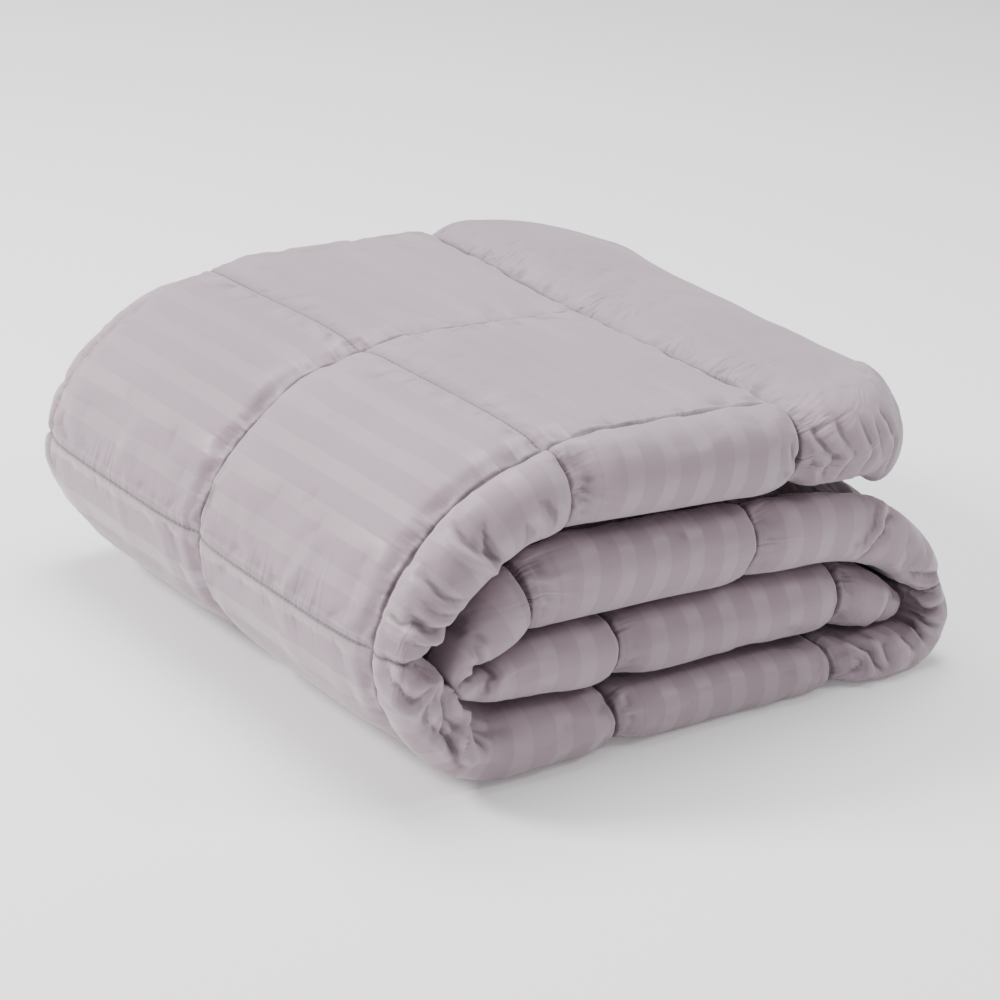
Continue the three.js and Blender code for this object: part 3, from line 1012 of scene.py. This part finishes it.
@dataclass(frozen=True)
class Sateen:
    """Finish of the cloth: plain weave crossed by glossier satin stripes, with painted shade in seams and
    creases and painted highlight on ridges.
    """

    plain: tuple[float, float, float, float] = (0.338, 0.258, 0.298, 1.0)
    satin: tuple[float, float, float, float] = (0.364, 0.280, 0.323, 1.0)
    satin_coat: float = 0.32
    # Dark colour of the painted shade in the seams and creases; the random mottle also leans a little toward
    # it.
    seam: tuple[float, float, float, float] = (0.090, 0.066, 0.078, 1.0)
    # Light colour of the painted highlight on the ridges of the wrinkles.
    ridge: tuple[float, float, float, float] = (0.520, 0.430, 0.480, 1.0)
    painted_crease_shade: float = 0.55
    painted_ridge_light: float = 0.30
    plain_rough: float = 0.66
    satin_rough: float = 0.54
    stripe_period: float = 0.25 / 6.5
    satin_share: float = 0.43
    pleat: float = 0.0080
    pleat_reach: float = 0.012
    border_reach: float = 2.6
    border_lean: float = -0.38
    crinkle: float = 0.0007
    weave: float = 0.00003
    mottle: float = 0.12
    # Widths and strengths of the painted shade in a seam: narrow on both sides, wide and soft on the far side
    # only.
    narrow_shade: tuple[float, float, float] = (0.0020, 0.0003, 0.75)
    wide_shade: tuple[float, float, float] = (0.0074, 0.0012, 0.85)
    soft_shade: tuple[float, float, float] = (0.0170, 0.0, 0.34)

    def group(self, name: str, takes: tuple[str, ...], gives: str) -> tuple[bpy.types.NodeTree, list, Graph]:
        """A node group with number sockets.

        Args:
            name: the group's name.
            takes: names of its inputs.
            gives: name of its output.

        Returns:
            The group, its input sockets and a graph that adds to it.
        """
        tree = bpy.data.node_groups.new(name, "ShaderNodeTree")
        for label in takes:
            tree.interface.new_socket(label, in_out="INPUT", socket_type="NodeSocketFloat")
        tree.interface.new_socket(gives, in_out="OUTPUT", socket_type="NodeSocketFloat")
        start = tree.nodes.new("NodeGroupInput")
        return tree, [start.outputs[label] for label in takes], Graph(tree)

    def close(self, tree: bpy.types.NodeTree, result: bpy.types.NodeSocket) -> bpy.types.NodeTree:
        """Joins a group's result to its output."""
        tree.links.new(result, tree.nodes.new("NodeGroupOutput").inputs[0])
        return tree

    def stripes(self) -> bpy.types.NodeTree:
        """Group that tells satin stripes from the plain ground; the open border has none."""
        tree, (length,), g = self.group("satin_stripes", ("Length",), "Mask")
        saw = g.math("PINGPONG", g.math("DIVIDE", length, self.stripe_period), 0.5)
        edge = self.satin_share / 2
        stripe = g.ramp(saw, edge + 0.022, edge - 0.022)
        return self.close(tree, g.math("MULTIPLY", stripe, g.ramp(length, -0.004, 0.0)))

    def pleats(self) -> bpy.types.NodeTree:
        """Group for the height of the small pleats that the stitching draws up beside a seam."""
        takes = ("Length", "Gap", "Far", "Start", "Border")
        tree, (length, gap, far, start, border), g = self.group("seam_pleats", takes, "Height")
        bursts = g.ramp(g.noise(g.math("ADD", length, start), 0.0, 15.0), 0.38, 0.62, 0.25, 1.0)
        side = g.ramp(far, 0.0, 1.0, 0.35, 1.0)
        reach = g.ramp(g.noise(g.math("ADD", length, start), 3.0, 60.0), 0.3, 0.7, 0.5, 1.7)
        reach = g.math("MULTIPLY", reach, g.ramp(border, 0.0, 1.0, 1.0, self.border_reach, False))
        fade = g.math("EXPONENT", g.math("DIVIDE", g.math("MULTIPLY", gap, -1.0 / self.pleat_reach), reach))
        bend = g.noise(g.math("ADD", length, start), 7.0, 22.0)
        lean = g.math("ADD", g.math("SUBTRACT", bend, 0.5), g.math("MULTIPLY", border, self.border_lean))
        slid = g.math("ADD", g.math("ADD", length, start), g.math("MULTIPLY", gap, lean))
        wave = g.math("SUBTRACT", g.noise(slid, g.math("MULTIPLY", gap, 0.25), 125.0, 1.5), 0.5)
        height = g.math("MULTIPLY", g.math("MULTIPLY", wave, self.pleat), g.math("MULTIPLY", fade, side))
        return self.close(tree, g.math("MULTIPLY", height, bursts))

    def shade(self) -> bpy.types.NodeTree:
        """Group for the painted shade in a seam, deeper on its far side, which leans in under the near one.
        """
        tree, (gap, far), g = self.group("seam_shade", ("Gap", "Far"), "Shade")
        narrow, wide, soft = (g.ramp(gap, start, end, 0.0, tone)
                              for start, end, tone in (self.narrow_shade, self.wide_shade, self.soft_shade))
        shaded = g.math("MULTIPLY", g.math("MAXIMUM", wide, soft), far)
        return self.close(tree, g.math("MAXIMUM", narrow, shaded))

    def surface(self) -> bpy.types.NodeTree:
        """Group for the height of the weave and of the soft crinkles, stronger on the plain ground."""
        tree, (length, run, mask), g = self.group("woven_relief", ("Length", "Run", "Mask"), "Height")
        crinkle = g.math("SUBTRACT", g.noise(g.math("MULTIPLY", length, 0.45), run, 75.0, 2.0), 0.5)
        patch = g.ramp(g.noise(length, run, 7.0), 0.35, 0.65, 0.3, 1.0)
        deep = g.math("MULTIPLY", g.ramp(mask, 0.0, 1.0, 1.0, 0.4), g.math("MULTIPLY", crinkle, self.crinkle))
        weave = g.math("MULTIPLY", g.noise(length, run, 1500.0, 0.0), self.weave)
        return self.close(tree, g.math("ADD", g.math("MULTIPLY", deep, patch), weave))

    def material(self) -> bpy.types.Material:
        """The cloth's material, with painted shade in the seams and creases and painted highlight on the
        ridges.
        """
        made = bpy.data.materials.new("striped_sateen")
        made.use_nodes = True
        g = Graph(made.node_tree)
        shader = made.node_tree.nodes["Principled BSDF"]
        shader.inputs["Specular IOR Level"].default_value = 0.35
        shader.inputs["Sheen Weight"].default_value = 0.25
        shader.inputs["Sheen Roughness"].default_value = 0.5
        split = g.node("SeparateXYZ")
        g.feed(split.inputs["Vector"], g.node("UVMap", uv_map="cloth").outputs["UV"])
        length, run = split.outputs["X"], split.outputs["Y"]
        along, along_side, across, across_side = (
            g.node("Attribute", attribute_name=name).outputs["Fac"]
            for name in ("seam_along", "seam_along_side", "seam_across", "seam_across_side"))

        def grouped(tree: bpy.types.NodeTree, *sources: object) -> bpy.types.NodeSocket:
            """Output of a group fed with sockets or numbers."""
            node = g.node("Group")
            node.node_tree = tree
            for socket, source in zip(node.inputs, sources):
                g.feed(socket, source)
            return node.outputs[0]

        mask = grouped(self.stripes(), length)
        pleats = self.pleats()
        border = g.ramp(length, 0.0, -0.002)
        height = g.math("ADD", grouped(pleats, length, along, along_side, 3.7, 0.0),
                        grouped(pleats, run, across, across_side, 9.1, border))
        height = g.math("ADD", height, grouped(self.surface(), length, run, mask))
        bump = g.node("Bump")
        bump.inputs["Distance"].default_value = 1.0
        g.feed(bump.inputs["Height"], height)
        g.feed(shader.inputs["Normal"], bump.outputs["Normal"])
        # Painted shade in the seams, from the distance to each seam and which side of it the point lies on.
        shade = self.shade()
        line = g.math("MAXIMUM", grouped(shade, along, along_side), grouped(shade, across, across_side))
        tone = g.noise(length, run, 5.0, 2.0)
        cloth = g.blend(mask, self.plain, self.satin)
        cloth = g.blend(g.ramp(tone, 0.3, 0.7, 0.0, self.mottle), cloth, self.seam)
        # Painted shade in the creases: the more hollow the cloth, the darker its colour.
        hollow = g.node("Attribute", attribute_name="hollow").outputs["Fac"]
        cloth = g.blend(g.ramp(hollow, 0.1, 1.0, 0.0, self.painted_crease_shade), cloth, self.seam)
        # Painted highlight on the ridges: the more the cloth bulges, the lighter its colour.
        cloth = g.blend(g.ramp(hollow, -0.15, -1.0, 0.0, self.painted_ridge_light), cloth, self.ridge)
        # The painted seam shade darkens the colour last, over everything else.
        g.feed(shader.inputs["Base Color"], g.blend(line, cloth, self.seam))
        shader.inputs["Coat Roughness"].default_value = 0.38
        g.feed(shader.inputs["Coat Weight"], g.math("MULTIPLY", mask, self.satin_coat))
        rough = g.ramp(mask, 0.0, 1.0, self.plain_rough, self.satin_rough, False)
        g.feed(shader.inputs["Roughness"], rough)
        return made


@dataclass
class Stitching:
    """Short thread stitches sunk in the seams."""

    shape: FoldShape
    quilting: Quilting
    drape: Drape
    pitch: float = 5.0
    half_length: float = 1.7
    half_width: float = 0.42
    sunk: float = 0.2
    batch: int = 40

    def rings_at(self, distance: np.ndarray) -> Rings:
        """Loops of the cloth at places along the fold."""
        same = np.ones_like(distance)
        return self.shape.rings(distance, same * 0, same, same * 0)

    def path(self, lay: Lay, number: int) -> np.ndarray:
        """Points a pitch apart along one seam.

        Args:
            lay: whether the seam runs along the fold or across it.
            number: which seam it is.

        Returns:
            An array of points in mm.
        """
        if lay is Lay.ALONG:
            distance = np.arange(CROSS_SEAMS[0], CROSS_SEAMS[-1], self.pitch * 0.98)
            rings = self.rings_at(distance)
            run = rings.seams[:, number:number + 1]
            return self.shape.place(run, self.quilting.depth(run, rings) - self.sunk, rings)[:, 0]
        rings = self.rings_at(np.array([float(CROSS_SEAMS[number])]))
        run = np.arange(0.0, float(rings.total[0]), self.pitch)[None, :]
        return self.shape.place(run, self.quilting.depth(run, rings) - self.sunk, rings)[0]

    def sew(self, bm: bmesh.types.BMesh, path: np.ndarray) -> None:
        """Adds the stitches of one seam.

        Args:
            bm: the mesh to add to.
            path: points a pitch apart, in mm.
        """
        size = Matrix.Diagonal((self.half_length * MM, self.half_width * MM, self.half_width * MM, 1.0))
        for start in range(0, len(path) - 1, self.batch):
            few = bmesh.new()
            for a, b in zip(path[start:start + self.batch], path[start + 1:]):
                way = Vector(b - a)
                if 0.4 * self.pitch < way.length < 1.6 * self.pitch:
                    turn = way.to_track_quat("X", "Z").to_matrix().to_4x4()
                    place = Matrix.Translation(Vector((a + b) / 2 * MM)) @ turn @ size
                    bmesh.ops.create_icosphere(few, subdivisions=1, radius=1.0, matrix=place)
            piece = bpy.data.meshes.new("stitch_row")
            few.to_mesh(piece)
            few.free()
            bm.from_mesh(piece)
            bpy.data.meshes.remove(piece)

    def build(self) -> bpy.types.Object:
        """All stitches as one object."""
        bm = bmesh.new()
        for number in range(5):
            self.sew(bm, self.drape.carried(self.path(Lay.ALONG, number)))
        for number in range(len(CROSS_SEAMS)):
            self.sew(bm, self.drape.carried(self.path(Lay.ACROSS, number)))
        for face in bm.faces:
            face.smooth = True
        mesh = bpy.data.meshes.new("comforter_stitches")
        bm.to_mesh(mesh)
        bm.free()
        LOG.info("comforter_stitches: %d faces", len(mesh.polygons))
        return linked("comforter_stitches", mesh)


@dataclass(frozen=True)
class Thread:
    """Finish of the sewing thread."""

    colour: tuple[float, float, float, float] = (0.300, 0.235, 0.270, 1.0)
    twist_tone: float = 0.8

    def material(self) -> bpy.types.Material:
        """The thread's material, with a fine twist."""
        made = bpy.data.materials.new("sewing_thread")
        made.use_nodes = True
        g = Graph(made.node_tree)
        shader = made.node_tree.nodes["Principled BSDF"]
        shader.inputs["Roughness"].default_value = 0.5
        shader.inputs["Sheen Weight"].default_value = 0.2
        twist = g.node("TexNoise")
        g.feed(twist.inputs["Vector"], g.node("TexCoord").outputs["Object"])
        twist.inputs["Scale"].default_value = 1800.0
        darker = tuple(c * self.twist_tone for c in self.colour[:3]) + (1.0,)
        g.feed(shader.inputs["Base Color"], g.blend(twist.outputs[0], self.colour, darker))
        return made


@dataclass
class Studio:
    """Pale floor, soft light and the camera at the photograph's angle."""

    eye: tuple[float, float, float] = (-1.4853, -1.8196, 1.1001)
    azimuth: float = -39.4
    elevation: float = 22.9
    lean: float = -4.5
    focal: float = 102.24
    floor_tone: float = 0.93
    floor_glow: float = 0.12
    air_glow: float = 0.38
    middle: Vector = field(default_factory=lambda: Vector((0.0, 0.0, 0.12)))

    def floor(self) -> None:
        """A wide pale floor."""
        mesh = bpy.data.meshes.new("studio_floor")
        bm = bmesh.new()
        bmesh.ops.create_grid(bm, x_segments=2, y_segments=2, size=9.0)
        bm.to_mesh(mesh)
        bm.free()
        made = bpy.data.materials.new("studio_paper")
        made.use_nodes = True
        shader = made.node_tree.nodes["Principled BSDF"]
        shader.inputs["Base Color"].default_value = (*[self.floor_tone] * 3, 1.0)
        shader.inputs["Roughness"].default_value = 0.9
        shader.inputs["Specular IOR Level"].default_value = 0.1
        shader.inputs["Emission Color"].default_value = (1.0, 1.0, 1.0, 1.0)
        shader.inputs["Emission Strength"].default_value = self.floor_glow
        mesh.materials.append(made)
        linked("studio_floor", mesh)

    def softbox(self, name: str, place: tuple[float, float, float], size: float, watts: float,
                tint: tuple[float, float, float]) -> None:
        """One large square light that points at the middle of the comforter.

        Args:
            name: the light's name.
            place: where it hangs.
            size: length of its side, in metres.
            watts: its power.
            tint: its colour.
        """
        lamp = bpy.data.lights.new(name, "AREA")
        lamp.size = size
        lamp.energy = watts
        lamp.color = tint
        holder = bpy.data.objects.new(name, lamp)
        holder.location = place
        holder.rotation_euler = (self.middle - Vector(place)).to_track_quat("-Z", "Y").to_euler()
        bpy.context.scene.collection.objects.link(holder)

    def camera(self) -> None:
        """The camera at the photograph's viewing angle."""
        a, e, r = (math.radians(v) for v in (self.azimuth, self.elevation, self.lean))
        back = Vector((math.sin(a) * math.cos(e), -math.cos(a) * math.cos(e), math.sin(e)))
        right = (-back).cross(Vector((0, 0, 1))).normalized()
        up = right.cross(-back)
        side = math.cos(r) * right - math.sin(r) * up
        top = math.sin(r) * right + math.cos(r) * up
        data = bpy.data.cameras.new("studio_camera")
        data.sensor_width = 36.0
        data.lens = self.focal
        data.clip_end = 50.0
        camera = bpy.data.objects.new("studio_camera", data)
        turn = Matrix((side, top, back)).transposed().to_4x4()
        camera.matrix_world = Matrix.Translation(Vector(self.eye)) @ turn
        bpy.context.scene.collection.objects.link(camera)
        bpy.context.scene.camera = camera

    def build(self) -> None:
        """Everything round the comforter."""
        self.camera()
        self.floor()
        self.softbox("key_light", (-3.0, 1.7, 2.6), 1.0, 225.0, (1.0, 0.975, 0.955))
        self.softbox("top_light", (0.2, 0.6, 3.4), 2.4, 165.0, (0.93, 0.955, 1.0))
        self.softbox("side_light", (2.2, -1.9, 2.8), 0.9, 40.0, (1.0, 0.98, 0.96))
        world = bpy.data.worlds.new("studio_air")
        world.use_nodes = True
        air = world.node_tree.nodes["Background"]
        air.inputs["Color"].default_value = (1.0, 1.0, 1.0, 1.0)
        air.inputs["Strength"].default_value = self.air_glow
        bpy.context.scene.world = world


def main() -> None:
    """Builds the comforter and the studio."""
    logging.basicConfig(level=logging.INFO)
    Studio().build()
    shape = FoldShape()
    quilting = Quilting(shape)
    comforter = Comforter(shape, quilting).build()
    drape = Drape(comforter)
    drape.settle()
    comforter.data.materials.append(Sateen().material())
    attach(comforter, "root")
    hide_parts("comforter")
    stitches = Stitching(shape, quilting, drape).build()
    stitches.data.materials.append(Thread().material())
    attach(stitches, "root")


if __name__ == "__main__":
    main()
